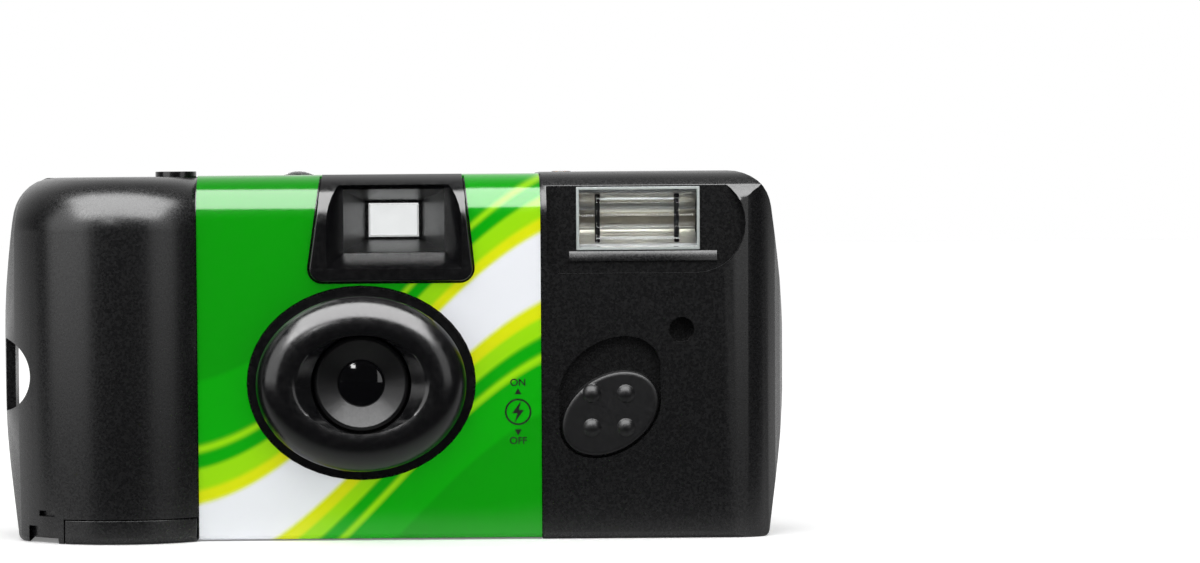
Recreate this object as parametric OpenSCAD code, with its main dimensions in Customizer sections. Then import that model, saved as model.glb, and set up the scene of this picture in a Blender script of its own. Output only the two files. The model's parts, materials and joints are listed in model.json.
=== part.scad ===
// Single-use film camera with built-in flash.
// +X is to the right of someone facing the lens, -Y is the front, +Z is up.
// The origin is the middle of the base.

/* [Body] */
// Room between the cartridge chamber and the end of the body
end_room = 8.9; // [8:0.1:10]
// Height of the body over the width of its film
height_over_film = 16.2; // [16.2:0.1:18]
// Front face ahead of the origin plane
front_depth = 11.4; // [11.4:0.1:12.4]
// Back face behind the origin plane
back_depth = 15; // [14.8:0.1:16]
// Wall of the two covers
wall = 1.4; // [1.2:0.05:1.5]
// Rounding of the top front edge
top_round = 6.5; // [6:0.25:7]
// Rounding of the end corners seen from above
end_round = 9; // [6:0.5:10]
// How far the grip stands out ahead of the front face
grip_reach = 4.2; // [3.6:0.1:5]
// Where the rear cover meets the front cover
seam_y = 6; // [5.6:0.1:6.4]

/* [Label] */
// Left edge of the label
label_left = -27.3; // [-27.6:0.1:-26.8]
// Right edge of the label
label_right = 20.8; // [20.2:0.1:21.2]
// Thickness of the label
label_t = 0.3; // [0.2:0.05:0.4]
// Depth of the shallow recess that takes the label
label_sink = 0.5; // [0.45:0.05:0.6]

/* [Lens] */
// Lens axis to the right of the middle
lens_x = -4.4; // [-5:0.1:-3.8]
// Lens axis below the middle of the film
lens_drop = 0.45; // [0:0.05:0.9]
// Width of the oval lens ring
ring_w = 31.3; // [29:0.1:32]
// Height of the oval lens ring
ring_h = 26.5; // [25:0.1:27]
// How far the lens ring stands out ahead of the front face
ring_reach = 5.6; // [5:0.1:6]
// Clear diameter of the lens
lens_d = 6.5; // [5.5:0.1:7]

/* [Viewfinder] */
// Viewfinder axis to the right of the middle
finder_x = 0.3; // [-0.2:0.1:0.8]
// Viewfinder axis below the top
finder_drop = 6.7; // [6.7:0.05:7]
// Width of the viewfinder opening
finder_w = 14.1; // [12:0.1:14.5]
// Height of the viewfinder opening
finder_h = 9; // [8.2:0.1:9]

/* [Flash] */
// Middle of the flash window to the right of the middle
flash_x = 34.3; // [34:0.1:34.6]
// Middle of the flash window below the top
flash_drop = 6.6; // [6.5:0.05:6.8]
// Width of the flash window
flash_w = 17.2; // [16:0.1:17.4]
// Height of the flash window
flash_h = 8.8; // [8:0.1:9]
// Depth of the flash recess
flash_sink = 1.8; // [1.6:0.1:1.9]

/* [Film] */
// Cartridge axis to the right of the middle
cartridge_x = -33.4; // [-33.8:0.1:-33]
// Cartridge axis behind the origin plane
cartridge_y = 2.8; // [2.7:0.05:2.9]
// Diameter of the film cartridge
cartridge_d = 25; // [24.4:0.1:25.2]
// Width of the film
film_w = 35; // [33:0.5:37]
// Height of the film cartridge over the width of its film
cartridge_over_film = 6.5; // [6:0.1:6.8]
// Supply roll axis to the right of the middle
supply_x = 33; // [32.7:0.1:33.2]
// Supply roll axis behind the origin plane
supply_y = 4.1; // [4:0.05:4.2]
// Diameter of the film on the supply roll
roll_d = 15.8; // [12:0.2:16]

/* [Controls] */
// Diameter of the advance wheel
wheel_d = 26.4; // [25.6:0.1:26.8]
// Thickness of the advance wheel
wheel_t = 2.8; // [2.4:0.1:2.8]
// Diameter of the shutter button
button_d = 5.8; // [5:0.1:6]
// Travel of the shutter button
button_travel = 1.2; // [1:0.1:1.2]
// Length of the oval flash switch
switch_w = 15; // [13:0.1:15.4]
// Breadth of the oval flash switch
switch_h = 10.8; // [9:0.1:11]
// Travel of the flash switch
switch_travel = 4.5; // [3.5:0.1:4.6]

/* [Hidden] */

$fn = 48;
far = 200;
// Clearances
slip = 0.15;
running = 0.07;
loose = 0.3;

// Overall form
cartridge_r = cartridge_d / 2;
chamber_r = cartridge_r + loose;
half_w = chamber_r - cartridge_x + end_room;
body_h = film_w + height_over_film;
front = -front_depth;
back = back_depth;
inner_front = front + wall;
inner_back = back - wall;
inner_top = body_h - wall;

// Side outline: belly of the ends, how far they draw in at the base and the top
belly_z = 25;
belly_rise = 0.96;
belly_round = 100;
foot_in = 2.6;
head_in = 2.8;
head_round = 6;
foot_round = 1;
back_round = 4;

// Grip: an upright drum with a domed top that runs into the left end
grip_front = front - grip_reach;
grip_top_round = top_round + 1;
drum_r = 17;
drum_x = -half_w + drum_r;
drum_y = grip_front + drum_r;
grip_h = body_h - 0.3;

// Film path
film_y = inner_back - 0.3;
film_t = 0.15;
cartridge_h = film_w + cartridge_over_film;
cartridge_floor = wall + loose;
cartridge_top = cartridge_floor + cartridge_h;
film_z0 = cartridge_floor + cartridge_over_film / 2;
film_z1 = film_z0 + film_w;
lens_z = (film_z0 + film_z1) / 2 - lens_drop;
bulge_r = chamber_r + wall;
bulge_roof = 0.6;
cap_t = 0.8;
spool_core_r = 5.6;
spool_end_r = 3.9;
spool_socket_r = 3;
hub_r = 1.6;
key_w = 5.2;
key_t = 1.2;
key_in = 1.4;
gate_w = 36;
gate_h = 24;

// Advance wheel and what it drives
wheel_r = wheel_d / 2;
wheel_z0 = cartridge_top + 1.2;
wheel_z1 = wheel_z0 + wheel_t;
bulge_top = wheel_z0 - loose;
wheel_pin_r = 1;
sprocket_x = -11.2;
sprocket_tip_r = 6.25;
sprocket_y = film_y - sprocket_tip_r - 0.1;
sprocket_z0 = film_z1 - 3.15;
sprocket_t = 2;
shaft_r = 1.2;
counter_x = -15.4;
counter_y = 6.5;
counter_r = 4.8;
counter_gear_r = 2.6;
counter_z0 = inner_top - 2.4;
counter_t = 1.2;
counter_window_x = -13.2;
counter_window_y = 3;
counter_window_d = 4.6;

// Shutter release
button_x = cartridge_x + 2.9;
button_y = -1;
button_rise = 0.45;
button_flange_z = inner_top - 1.1;
button_flange_t = 0.6;
leg_x = -20.8;
leg_y = -5.2;
leg_w = 1.5;
lever_x = -14;
lever_z = body_h - 12.5;
lever_t = 1.6;
lever_half = 1.1;
plate_y0 = inner_front + 2.4;
plate_t = 0.8;
plate_y1 = plate_y0 + plate_t;
blade_t = 0.3;
blade_y0 = plate_y0 - loose - blade_t;
blade_x = -11;
blade_z = lens_z + 8;
pin_r = 0.9;
holder_back = blade_y0 - loose;

// Viewfinder
finder_z = body_h - finder_drop;
finder_lens_y = inner_front + 3.5;
finder_lens_t = 1;
tunnel_wall = 0.6;
eyepiece_w = 7.2;
eyepiece_h = 4.8;
bezel_left = 12.1;
bezel_right = 11.1;
bezel_foot = 8.4;
bezel_lean_left = 2.3;
bezel_lean_right = 1.7;
bezel_proud = 0.8;

// Flash and its circuit
flash_z = body_h - flash_drop;
flash_floor_y = front + flash_sink;
flash_floor_t = 1.2;
flash_flange = 0.5;
flange_top_drop = 0.8;
reflector_depth = 4.2;
flash_left_margin = 4.2;
flash_right_margin = 6.3;
flash_below = 3.2;
flash_above = 1.7;
board_y0 = inner_front + 2.8;
board_t = 1.2;
board_y1 = board_y0 + board_t;
board_left = 11;
board_right = 50;
board_z0 = 13.5;
board_z1 = body_h - 16;
post_r = 1.2;
post_in = 2.5;
battery_d = 10.5;
battery_l = 43.8;
battery_nub = 0.9;
battery_x0 = -20.2;
battery_y = inner_front + battery_d / 2 + 0.35;
battery_z = wall + battery_d / 2 + 0.55;
contact_t = 0.4;
capacitor_x = 46.8;
capacitor_y = -0.5;
capacitor_d = 8.6;
capacitor_l = 25;
capacitor_drop = 4.5;
transformer_w = 7.5;
transformer_d = 6.4;
transformer_h = 9;
coil_r = 1.6;
coil_l = 7;
lamp_r = 1.1;
lamp_l = 5;
sync_h = 2;
rib_t = 1.6;
rib_start = 6.2;
rib_pitch = 15.5;

// Flash switch, drawn in its OFF place
switch_x = 30.2;
switch_z = 17.5;
switch_tilt = 33;
switch_sink = 1.5;
switch_proud = 0.5;
switch_floor_t = 1.3;
switch_stem_w = 2;
switch_stem_h = 3.4;
switch_stem_drop = 1.4;
stem_z = switch_z - switch_stem_drop;
dome_d = 2.7;
dome_rise = 0.75;
dome_pitch = 4.7;

// Hatch under the cartridge
door_left = cartridge_x - 12.4;
door_right = label_left;
door_lip = 3.5;
hinge_y = 9;
hinge_r = 0.8;

// Strap bar at the left end
strap_z0 = 18;
strap_z1 = 28.4;
strap_bar = 1.7;
strap_gap = 2.8;
strap_half = 2.2;

// Outline helpers

function unit(v) = v / norm(v);
function flat(p) = [p.x, p.y];
function inward(a, b) = let (d = unit(b - a)) [-d.y, d.x];
function wedge(u, v) = u.x * v.y - u.y * v.x;

// Corner q of an anticlockwise outline after both its edges move inward by d
function moved(p, q, r, d) = let (m = inward(p, q), n = inward(q, r)) q + (m + n) * d / (1 + m * n);

function arc(centre, radius, start, turn, steps) =
    [for (i = [0 : steps]) let (a = start + turn * i / steps) centre + radius * [cos(a), sin(a)]];

// Points that round corner q between p and r
function rounded_corner(p, q, r, radius, steps) =
    let (u = unit(p - q), v = unit(r - q), half = acos(u * v) / 2, centre = q + unit(u + v) * radius / sin(half))
    let (first = q + u * radius / tan(half) - centre, side = sign(wedge(q - p, r - q)))
    arc(centre, radius, atan2(first.y, first.x), side * (180 - 2 * half), steps);

// Outline through corners [x, y, rounding], moved inward by inset
function outline(corners, inset = 0, steps = 8) =
    let (n = len(corners), p = [for (c = corners) flat(c)])
    let (q = [for (i = [0 : n - 1]) moved(p[(i + n - 1) % n], p[i], p[(i + 1) % n], inset)])
    [for (i = [0 : n - 1]) let (radius = corners[i].z - inset)
        each radius > 0.05 ? rounded_corner(q[(i + n - 1) % n], q[i], q[(i + 1) % n], radius, steps) : [q[i]]];

function box_corners(x0, x1, y0, y1, r = 0) = [[x0, y0, r], [x1, y0, r], [x1, y1, r], [x0, y1, r]];

function oval(w, h, tilt = 0, n = 48) =
    [for (i = [0 : n - 1]) let (a = 360 * i / n, u = w / 2 * cos(a), v = h / 2 * sin(a))
        [u * cos(tilt) - v * sin(tilt), u * sin(tilt) + v * cos(tilt)]];

function shifted(points, x, y) = [for (p = points) [p.x + x, p.y + y]];
function upright(points, y) = [for (p = points) [p.x, y, p.y]];

// Shape helpers

module block(x0, x1, y0, y1, z0, z1) {
    translate([x0, y0, z0]) cube([x1 - x0, y1 - y0, z1 - z0]);
}

module along_x(x0, x1) {
    translate([x0, 0, 0]) rotate([90, 0, 90]) linear_extrude(x1 - x0) children();
}

module along_y(y0, y1) {
    translate([0, y1, 0]) rotate([90, 0, 0]) linear_extrude(y1 - y0) children();
}

module along_z(z0, z1) {
    translate([0, 0, z0]) linear_extrude(z1 - z0) children();
}

module rod_x(y, z, r, x0, x1) {
    translate([x0, y, z]) rotate([0, 90, 0]) cylinder(r = r, h = x1 - x0);
}

module rod_y(x, z, r, y0, y1) {
    translate([x, y1, z]) rotate([90, 0, 0]) cylinder(r = r, h = y1 - y0);
}

module rod_z(x, y, r, z0, z1) {
    translate([x, y, z0]) cylinder(r = r, h = z1 - z0);
}

// Pie slice seen from above, for cutting curved walls to length
module slice(x, y, from, to) {
    translate([x, y]) polygon(concat([[0, 0]], arc([0, 0], far / 2, from, to - from, 16)));
}

// Skin over rings of points from back to front; a looped skin closes on itself
module loft(rings, looped = false) {
    n = len(rings[0]);
    m = len(rings);
    last = looped ? m - 1 : m - 2;
    sides = [for (i = [0 : last], j = [0 : n - 1]) let (k = (j + 1) % n, o = (i + 1) % m)
        each [[i * n + j, o * n + k, i * n + k], [i * n + j, o * n + j, o * n + k]]];
    ends = looped ? [] : [[for (j = [0 : n - 1]) j], [for (j = [n - 1 : -1 : 0]) (m - 1) * n + j]];
    polyhedron([for (ring = rings) each ring], concat(sides, ends), convexity = 8);
}

// Outer form of the camera, moved inward by inset

module side_outline(inset) {
    polygon(outline([
        [-half_w + foot_in, 0, foot_round],
        [half_w - foot_in, 0, foot_round],
        [half_w + belly_rise, belly_z, belly_round],
        [half_w - head_in, body_h, head_round],
        [-half_w + head_in, body_h, head_round],
        [-half_w - belly_rise, belly_z, belly_round]], inset));
}

module section_outline(face, round_top, inset) {
    polygon(outline([
        [face, 0, foot_round],
        [back, 0, foot_round],
        [back, body_h, back_round],
        [face, body_h, round_top]], inset));
}

module plan_outline(inset) {
    polygon(outline(box_corners(-half_w, half_w, front, back, end_round), inset));
}

module main_form(inset) {
    intersection() {
        along_y(-far, far) side_outline(inset);
        along_x(label_left - 2 * inset, far) section_outline(front, top_round, inset);
        along_z(-far, far) plan_outline(inset);
    }
}

// Front half of the grip's drum
module grip_drum(inset) {
    translate([drum_x, drum_y, 0]) rotate(180) rotate_extrude(angle = 180) intersection() {
        polygon(outline([
            [-drum_r, 0, 0],
            [drum_r, 0, foot_round],
            [drum_r, grip_h, grip_top_round],
            [-drum_r, grip_h, 0]], inset));
        square([far, far]);
    }
}

module grip_form(inset) {
    intersection() {
        along_y(-far, far) side_outline(inset);
        union() {
            grip_drum(inset);
            intersection() {
                along_x(-far, far) section_outline(front, top_round, inset);
                along_z(-far, far) plan_outline(inset);
                block(-far, far, drum_y, far, -far, far);
            }
        }
        block(-far, label_left - inset, -far, far, -far, grip_h - inset);
    }
}

module camera_form(inset) {
    main_form(inset);
    grip_form(inset);
    rod_z(cartridge_x, cartridge_y, bulge_r - inset, inset, bulge_top - min(inset, bulge_roof));
}

// Slab of the middle section between two insets, across the label
module label_band(outer, inner, x0, x1) {
    along_x(x0, x1) difference() {
        section_outline(front, top_round, outer);
        section_outline(front, top_round, inner);
    }
}

// Openings that several pieces share

module finder_outline(inset) {
    polygon(outline([
        [finder_x - bezel_left, finder_z - bezel_foot, 1.8],
        [finder_x + bezel_right, finder_z - bezel_foot, 1.8],
        [finder_x + bezel_right - bezel_lean_right, body_h + 1, 0],
        [finder_x - bezel_left + bezel_lean_left, body_h + 1, 0]], inset));
}

flash_left = flash_x - flash_w / 2 - flash_left_margin;
flash_right = flash_x + flash_w / 2 + flash_right_margin;

module flash_outline(inset) {
    polygon(outline([
        [flash_left, flash_z - flash_h / 2 - flash_below, 2],
        [flash_right, flash_z - flash_h / 2 - flash_below, 6.8],
        [flash_right, flash_z + flash_h / 2 + flash_above, 6.8],
        [flash_left, flash_z + flash_h / 2 + flash_above, 2]], inset));
}

module flash_opening(inset) {
    translate([flash_x, flash_z]) square([flash_w - 2 * inset, flash_h - 2 * inset], center = true);
}

function switch_oval(inset) = oval(switch_w - 2 * inset, switch_h - 2 * inset, switch_tilt);

// The oval and the ground that it sweeps when it slides up
module switch_track(inset) {
    translate([switch_x, switch_z]) for (step = [0 : 6]) {
        translate([0, switch_travel * step / 6]) polygon(switch_oval(inset));
    }
}

module eyepiece_opening(inset) {
    translate([finder_x, finder_z]) square([eyepiece_w - 2 * inset, eyepiece_h - 2 * inset], center = true);
}

module door_zone(gap) {
    block(door_left + gap, door_right - gap, -far, hinge_y, -1, door_lip - gap);
}

// Covers

strap_mid = (strap_z0 + strap_z1) / 2;
strap_rise = strap_bar + strap_gap;
strap_r = (pow((strap_z1 - strap_z0) / 2, 2) + pow(strap_rise, 2)) / (2 * strap_rise);
strap_x = -half_w + strap_rise - strap_r;
holder_r = 6.6;
button_hole_r = button_d / 2 + slip;
light_x = 24;
light_y = -2;
light_r = 1.4;
peep_x = flash_x + 5.9;
peep_z = flash_z - 15.5;
peep_r = 1.75;
peep_sink = 2.5;
peep_floor_t = 1;

module cover_shell() {
    difference() {
        union() {
            difference() {
                camera_form(0);
                camera_form(wall);
            }
            intersection() {
                camera_form(0);
                rod_y(strap_x, strap_mid, strap_r + wall, -far, far);
            }
        }
        rod_y(strap_x, strap_mid, strap_r, -far, far);
        label_band(-1, label_sink, label_left, label_right);
    }
}

module strap_loop() {
    intersection() {
        camera_form(0);
        block(-far, -half_w + strap_bar, -strap_half, strap_half, strap_z0 - wall, strap_z1 + wall);
    }
}

module flash_seat() {
    intersection() {
        camera_form(0);
        along_y(front, flash_floor_y + flash_floor_t) flash_outline(-wall / 2);
    }
}

module switch_seat() {
    along_y(inner_front - wall / 2, front + switch_sink + switch_floor_t) switch_track(-wall);
}

module switch_slot() {
    block(switch_x - switch_stem_w / 2 - slip, switch_x + switch_stem_w / 2 + slip, front, inner_front + far / 20,
        stem_z - switch_stem_h / 2 - slip, stem_z + switch_stem_h / 2 + switch_travel + slip);
}

module board_posts() {
    left = board_left + post_in;
    right = board_right - post_in;
    for (p = [[left, board_z1 - post_in], [right, board_z1 - post_in], [right, board_z0 + post_in]]) {
        rod_y(p.x, p.y, post_r, inner_front - wall / 2, board_y0);
    }
}

module battery_ribs() {
    difference() {
        for (i = [0 : 2]) {
            x = battery_x0 + rib_start + i * rib_pitch;
            block(x, x + rib_t, inner_front - wall / 4, battery_y, wall / 2, battery_z);
        }
        rod_x(battery_y, battery_z, battery_d / 2 + slip, -far, far);
    }
}

// Shallow notch and latch slot beside the hatch
module hatch_marks() {
    difference() {
        union() {
            block(door_left - 5.2, door_left - 0.8, -far, 0, -1, 2.4);
            block(door_left - 3.6, door_left - 1.3, -far, 0, door_lip + loose, door_lip + loose + 0.8);
        }
        camera_form(wall / 2);
    }
}

module front_cover() {
    color("#2a2a2c") difference() {
        intersection() {
            union() {
                cover_shell();
                strap_loop();
                flash_seat();
                switch_seat();
                rod_y(peep_x, peep_z, peep_r + wall, inner_front - wall / 2, front + peep_sink + peep_floor_t);
                board_posts();
                battery_ribs();
                rod_z(cartridge_x, cartridge_y, wheel_pin_r, wheel_z1 - 1.2, inner_top + wall / 2);
            }
            block(-far, far, -far, seam_y, -1, far);
        }
        along_y(-far, flash_floor_y) flash_outline(0);
        along_y(-far, 0) flash_opening(0);
        along_y(-far, front + switch_sink) switch_track(-slip);
        switch_slot();
        along_y(-far, finder_lens_y) finder_outline(-slip);
        rod_y(lens_x, lens_z, holder_r + loose, -far, 0);
        rod_y(peep_x, peep_z, peep_r, -far, front + peep_sink);
        rod_z(button_x, button_y, button_hole_r, inner_top - 1, far);
        rod_z(counter_window_x, counter_window_y, counter_window_d / 2 + slip, inner_top - 1, far);
        rod_z(light_x, light_y, light_r + slip, inner_top - 1, far);
        door_zone(0);
        hatch_marks();
    }
}

module hinge_pins(r) {
    for (x = [door_left, door_right]) {
        rod_x(hinge_y, hinge_r, r, x - 1, x + 1);
    }
}

module rear_cover() {
    color("#232325") {
        difference() {
            intersection() {
                cover_shell();
                block(-far, far, seam_y, far, -1, far);
            }
            rod_z(cartridge_x, cartridge_y, wheel_r + 2 * loose, wheel_z0 - loose, wheel_z1 + loose);
            along_y(0, far) eyepiece_opening(0);
            block(door_left, door_right, 0, hinge_y + hinge_r + loose, -1, 2 * hinge_r + loose);
        }
        intersection() {
            hinge_pins(hinge_r / 2);
            union() {
                block(door_left - 1, door_left + 1, 0, far, 0, far);
                block(door_right - 1, door_right + 1, 0, far, 0, far);
            }
        }
    }
}

module cartridge_door() {
    color("#2a2a2c") difference() {
        union() {
            intersection() {
                difference() {
                    camera_form(0);
                    camera_form(wall);
                }
                door_zone(slip);
            }
            rod_x(hinge_y, hinge_r, hinge_r, door_left + slip, door_right - slip);
        }
        rod_x(hinge_y, hinge_r, hinge_r / 2 + running, door_left - 1, door_left + 1 + slip);
        rod_x(hinge_y, hinge_r, hinge_r / 2 + running, door_right - 1 - slip, door_right + 1);
    }
}

module label_wrap() {
    color("#00a000") difference() {
        label_band(label_sink - label_t, label_sink, label_left + slip, label_right - slip);
        along_y(-far, finder_lens_y) finder_outline(-loose);
        along_y(-far, 0) polygon(shifted(oval(ring_w + 2 * loose, ring_h + 2 * loose), lens_x, lens_z));
        along_y(0, far) eyepiece_opening(-loose);
        rod_z(counter_window_x, counter_window_y, counter_window_d / 2 + loose, inner_top, far);
        intersection() {
            rod_z(cartridge_x, cartridge_y, bulge_r + loose, -1, bulge_top + loose);
            block(-far, far, back - label_sink, far, -1, far);
        }
    }
}

// Lens and shutter

ring_back = front + label_sink;
ring_front = front - ring_reach;
ring_rim = 3.9;
dish_d = 2 * holder_r + 0.7;
dish_y = ring_front + 3.8;

// One ring of the lens ring's section: width and height given as how far they draw in
function lens_oval(drawn_in, y) = upright(shifted(oval(ring_w - drawn_in, ring_h - drawn_in), lens_x, lens_z), y);

function lens_round(d, y) = upright(shifted(oval(d, d), lens_x, lens_z), y);

module lens_ring() {
    color("#101012") loft([
        lens_oval(0, ring_back),
        lens_oval(0, front - 0.6),
        lens_oval(ring_rim - 2.4, ring_front + 0.9),
        lens_oval(ring_rim - 1.6, ring_front + 0.3),
        lens_oval(ring_rim, ring_front),
        lens_oval(ring_rim + 1.4, ring_front + 0.3),
        lens_oval(ring_rim + 2.2, ring_front + 0.9),
        lens_round(dish_d, dish_y),
        lens_round(dish_d, ring_back)], true);
}

// Turned about the lens axis; points are [radius, distance ahead of the origin plane]
module turned(points) {
    translate([lens_x, 0, lens_z]) rotate([90, 0, 0]) rotate_extrude() polygon(points);
}

lens_r = lens_d / 2;
lens_seat_r = lens_r + 0.5;
lens_front = -front - 0.1;
lens_t = 1.4;
holder_flange_r = 8.2;

module lens_holder() {
    color("#18181a") turned([
        [lens_seat_r, -holder_back],
        [holder_flange_r, -holder_back],
        [holder_flange_r, -inner_front - slip],
        [holder_r, -inner_front - slip],
        [holder_r, -dish_y - 0.2],
        [holder_r - 0.5, -dish_y],
        [lens_r, lens_front + 0.3],
        [lens_r, lens_front],
        [lens_seat_r, lens_front]]);
}

module taking_lens() {
    color("#8090a0") turned(concat([[0, lens_front - lens_t]],
        [[lens_seat_r - running, lens_front - lens_t], [lens_seat_r - running, lens_front - running],
            [lens_r - slip, lens_front - running]],
        [for (i = [1 : 6]) let (r = (lens_r - slip) * (1 - i / 6)) [r, lens_front - running + 0.08 * i * (2 - i / 6)]]));
}

plate_half = 11;
plate_drop = 8;
plate_top = finder_z - 9.5;
aperture_r = 2;
ear_x = lever_x - 3;
ear_w = 4.6;
ear_rise = 2.5;

module shutter_plate() {
    color("#303034") {
        difference() {
            union() {
                block(lens_x - plate_half, lens_x + plate_half, plate_y0, plate_y1, lens_z - plate_drop, plate_top);
                block(ear_x, ear_x + ear_w, plate_y0, plate_y1, blade_z, lever_z + ear_rise);
            }
            rod_y(lens_x, lens_z, aperture_r, -far, far);
        }
        rod_y(blade_x, blade_z, pin_r, inner_front + 0.5, plate_y0);
        rod_y(lever_x, lever_z, pin_r, plate_y1, lever_y0 + lever_t + 0.5);
    }
}

blade_w = 2.4;
blade_hub_r = 2;
blade_reach = norm([lens_x - blade_x, lens_z - blade_z]);
blade_turn = atan2(lens_z - blade_z, lens_x - blade_x);

module shutter_blade() {
    color("#202022") along_y(blade_y0, blade_y0 + blade_t) translate([blade_x, blade_z]) difference() {
        union() {
            circle(r = blade_hub_r);
            rotate(blade_turn) translate([0, -blade_w / 2]) square([blade_reach, blade_w]);
            rotate(blade_turn) translate([blade_reach, 0]) circle(r = aperture_r + 1.2);
        }
        circle(r = pin_r + running);
    }
}

module shutter_spring() {
    color("#b0b0b4") difference() {
        rod_y(blade_x, blade_z, 1.7, inner_front + 0.6, blade_y0 - 0.2);
        rod_y(blade_x, blade_z, pin_r + slip, -far, far);
    }
}

lever_y0 = leg_y - lever_t / 2;
lever_left = leg_x - 1.6;
lever_right = lever_x + 4.4;

module release_lever() {
    color("#3a3a3e") along_y(lever_y0, lever_y0 + lever_t) difference() {
        union() {
            translate([lever_left, lever_z - lever_half]) square([lever_right - lever_left, 2 * lever_half]);
            translate([lever_x, lever_z]) circle(r = 2);
        }
        translate([lever_x, lever_z]) circle(r = pin_r + running);
    }
}

leaf_t = 0.3;
leaf_w = 1.6;
leaf_z = lever_z - lever_half - button_travel - 1;

module release_spring() {
    color("#c0c0c4") {
        block(lever_left, ear_x + leaf_w, lever_y0, lever_y0 + lever_t, leaf_z, leaf_z + leaf_t);
        block(ear_x, ear_x + leaf_w, plate_y1, lever_y0, leaf_z, leaf_z + leaf_t);
    }
}

// Controls

module shutter_button() {
    leg_foot = lever_z + lever_half + loose;
    arm_turn = atan2(leg_y - button_y, leg_x - button_x);
    arm_l = norm([leg_x - button_x, leg_y - button_y]);
    color("#1c1c1e") {
        rod_z(button_x, button_y, button_d / 2, button_flange_z, body_h + button_rise);
        rod_z(button_x, button_y, button_d / 2 + 0.7, button_flange_z, button_flange_z + button_flange_t);
        translate([button_x, button_y, button_flange_z]) rotate(arm_turn) translate([0, -1, 0])
            cube([arm_l, 2, button_flange_t]);
        block(leg_x - leg_w / 2, leg_x + leg_w / 2, leg_y - leg_w / 2, leg_y + leg_w / 2, leg_foot,
            button_flange_z + button_flange_t);
    }
}

// Low dome of a given base radius and rise, standing on z = 0
module dome(r, rise) {
    ball = (r * r + rise * rise) / (2 * rise);
    intersection() {
        translate([0, 0, rise - ball]) sphere(r = ball);
        cylinder(r = r, h = 2 * rise);
    }
}

// Lip under the cover that holds a small top window
lip_t = 0.6;
lip_w = 0.6;
lip_z0 = inner_top - lip_t - 0.05;

module counter_window() {
    r = counter_window_d / 2;
    color("#d8dcdc") translate([counter_window_x, counter_window_y, 0]) {
        translate([0, 0, lip_z0]) cylinder(r = r + lip_w, h = lip_t);
        translate([0, 0, lip_z0]) cylinder(r = r, h = body_h - 0.2 - lip_z0);
        translate([0, 0, body_h - 0.2]) dome(r, 0.6);
    }
}

module ready_light_window() {
    color("#d06020") {
        rod_z(light_x, light_y, light_r, lip_z0, body_h + 0.1);
        rod_z(light_x, light_y, light_r + lip_w, lip_z0, lip_z0 + lip_t);
    }
}

knurls = 64;

module thumb_wheel() {
    color("#1c1c1e") difference() {
        union() {
            translate([cartridge_x, cartridge_y]) along_z(wheel_z0, wheel_z1) polygon(
                [for (i = [0 : 2 * knurls - 1]) let (a = 180 * i / knurls, r = wheel_r - (i % 2) * 0.5)
                    r * [cos(a), sin(a)]]);
            rod_z(cartridge_x, cartridge_y, hub_r, cartridge_top - key_in, wheel_z0 + 0.1);
            block(cartridge_x - key_w / 2, cartridge_x + key_w / 2, cartridge_y - key_t / 2, cartridge_y + key_t / 2,
                cartridge_top - key_in, wheel_z0 + 0.1);
        }
        rod_z(cartridge_x, cartridge_y, wheel_pin_r + running, wheel_z1 - 1.5, far);
    }
}

module flash_switch() {
    y0 = front - switch_proud;
    y1 = front + switch_sink - slip;
    clip_y0 = front + switch_sink + switch_floor_t + slip;
    function ring(inset, y) = upright(shifted(switch_oval(inset), switch_x, switch_z), y);
    color("#1e1e20") {
        loft([ring(slip, y1), ring(slip, y0 + 0.6), ring(slip + 0.2, y0 + 0.2), ring(slip + 0.7, y0)]);
        for (i = [-0.5, 0.5], j = [-0.5, 0.5]) {
            translate([switch_x - 0.2 + i * dome_pitch, y0 + 0.1, switch_z + 0.4 + j * dome_pitch]) rotate([90, 0, 0])
                dome(dome_d / 2, dome_rise);
        }
        block(switch_x - switch_stem_w / 2, switch_x + switch_stem_w / 2, y1 - 0.2, clip_y0 + 0.2,
            stem_z - switch_stem_h / 2, stem_z + switch_stem_h / 2);
        block(switch_x - switch_stem_w, switch_x + switch_stem_w, clip_y0, clip_y0 + 0.5,
            stem_z - switch_stem_h / 2, stem_z + switch_stem_h / 2);
    }
}

module switch_contact() {
    y0 = front + switch_sink + switch_floor_t + slip + 0.5;
    color("#c8a850") block(switch_x - switch_stem_w, switch_x + switch_stem_w, y0, y0 + contact_t,
        stem_z - 1, stem_z + 1);
}

// Viewfinder

function frame_ring(w, h, y, x = finder_x, z = finder_z) =
    upright(shifted([[-w / 2, -h / 2], [w / 2, -h / 2], [w / 2, h / 2], [-w / 2, h / 2]], x, z), y);

module viewfinder_bezel() {
    color("#0e0e10") difference() {
        intersection() {
            along_y(-far, finder_lens_y) finder_outline(0);
            along_x(-far, far) section_outline(front - bezel_proud, top_round + bezel_proud, 0);
        }
        loft([frame_ring(finder_w, finder_h, finder_lens_y + 1), frame_ring(finder_w, finder_h, inner_front + 1.4),
            frame_ring(finder_w + 5, finder_h + 4.6, front - bezel_proud - 0.2)]);
    }
}

module viewfinder_objective() {
    color("#c8d4dc") block(finder_x - finder_w / 2 - 0.4, finder_x + finder_w / 2 + 0.4, finder_lens_y,
        finder_lens_y + finder_lens_t, finder_z - finder_h / 2 - 0.2, finder_z + finder_h / 2 + 0.2);
}

eyepiece_flange_y = inner_back - 0.65;

module viewfinder_eyepiece() {
    color("#c8d4dc") {
        along_y(eyepiece_flange_y, inner_back - 0.05) intersection() {
            eyepiece_opening(-0.6);
            translate([-far, -far]) square([2 * far, far + finder_z + eyepiece_h / 2 - slip]);
        }
        along_y(inner_back - 0.1, back - 0.2) eyepiece_opening(slip);
    }
}

// Film carriage

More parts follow.
